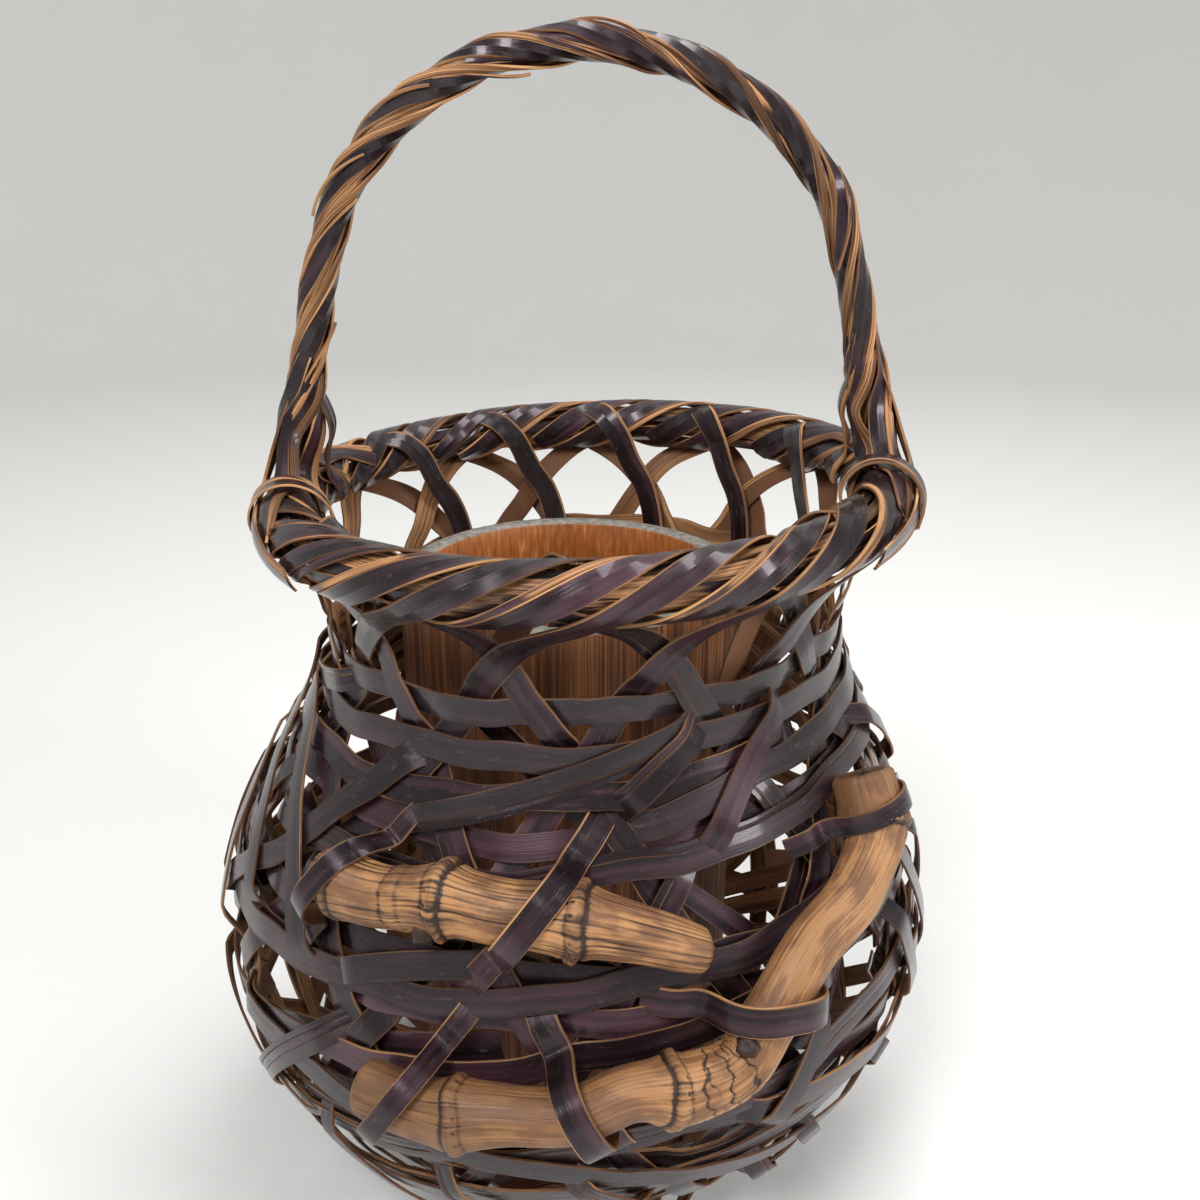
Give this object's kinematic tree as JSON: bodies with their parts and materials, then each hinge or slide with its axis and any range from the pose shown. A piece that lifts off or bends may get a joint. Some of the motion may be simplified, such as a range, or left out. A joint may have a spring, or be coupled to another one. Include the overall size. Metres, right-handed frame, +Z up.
{
  "type": "flower basket",
  "caption": "Woven split-bamboo flower basket with a rolled rim, a twisted hoop handle, bamboo root pieces on its front and a lift-out water tube.",
  "frame": {"origin": "middle of the bounding box at the foot ring's underside", "axes": "+Z up through the water tube, -Y towards the side with the root pieces, +X to the right of that side"},
  "size_m": [0.326, 0.3544, 0.5114],
  "materials": {
    "dark_bamboo": "smoked and stained split bamboo, semi-gloss skin",
    "tan_bamboo": "bare split bamboo, satin",
    "bamboo_root": "natural bamboo root, waxed",
    "lacquered_tube": "bamboo tube with translucent brown lacquer"
  },
  "bodies": {
    "basket": {"foot_ring": "tan_bamboo", "handle_band_left": "dark_bamboo", "handle_band_right": "dark_bamboo", "handle_core": "tan_bamboo", "handle_strand_inner_left": "dark_bamboo", "handle_strand_inner_right": "dark_bamboo", "handle_strand_outer_left": "dark_bamboo", "handle_strand_outer_right": "dark_bamboo", "handle_strip_1": "dark_bamboo", "handle_strip_2": "dark_bamboo", "handle_strip_3": "dark_bamboo", "overlay_01": "dark_bamboo", "overlay_02": "dark_bamboo", "overlay_03": "dark_bamboo", "overlay_04": "dark_bamboo", "overlay_05": "dark_bamboo", "overlay_06": "dark_bamboo", "overlay_07": "dark_bamboo", "overlay_08": "dark_bamboo", "overlay_09": "dark_bamboo", "overlay_10": "dark_bamboo", "overlay_11": "dark_bamboo", "overlay_12": "dark_bamboo", "rim_core": "tan_bamboo", "rim_winding_1": "dark_bamboo", "rim_winding_2": "dark_bamboo", "root_bent": "bamboo_root", "root_upper": "bamboo_root", "stake_01": "dark_bamboo", "stake_02": "dark_bamboo", "stake_03": "dark_bamboo", "stake_04": "dark_bamboo", "stake_05": "dark_bamboo", "stake_06": "dark_bamboo", "stake_07": "dark_bamboo", "stake_08": "dark_bamboo", "stake_09": "dark_bamboo", "stake_10": "dark_bamboo", "stake_11": "dark_bamboo", "stake_12": "dark_bamboo", "tail_1": "dark_bamboo", "tail_2": "dark_bamboo", "tail_3": "dark_bamboo", "tail_4": "dark_bamboo", "tail_5": "dark_bamboo", "tail_6": "dark_bamboo", "tail_7": "dark_bamboo", "tail_8": "dark_bamboo", "tie_junction": "dark_bamboo", "tie_lower": "dark_bamboo", "tie_upper": "dark_bamboo", "weaver_01": "dark_bamboo", "weaver_02": "dark_bamboo", "weaver_03": "dark_bamboo", "weaver_04": "dark_bamboo", "weaver_05": "dark_bamboo", "weaver_06": "dark_bamboo", "weaver_07": "dark_bamboo", "weaver_08": "dark_bamboo"},
    "water_tube": {"liner_tube": "lacquered_tube"}
  },
  "joints": [
    {"name": "tube_lift", "type": "slide", "parent": "basket", "child": "water_tube", "axis": [0, 0, 1], "range_m": [0, 0.15]}
  ]
}
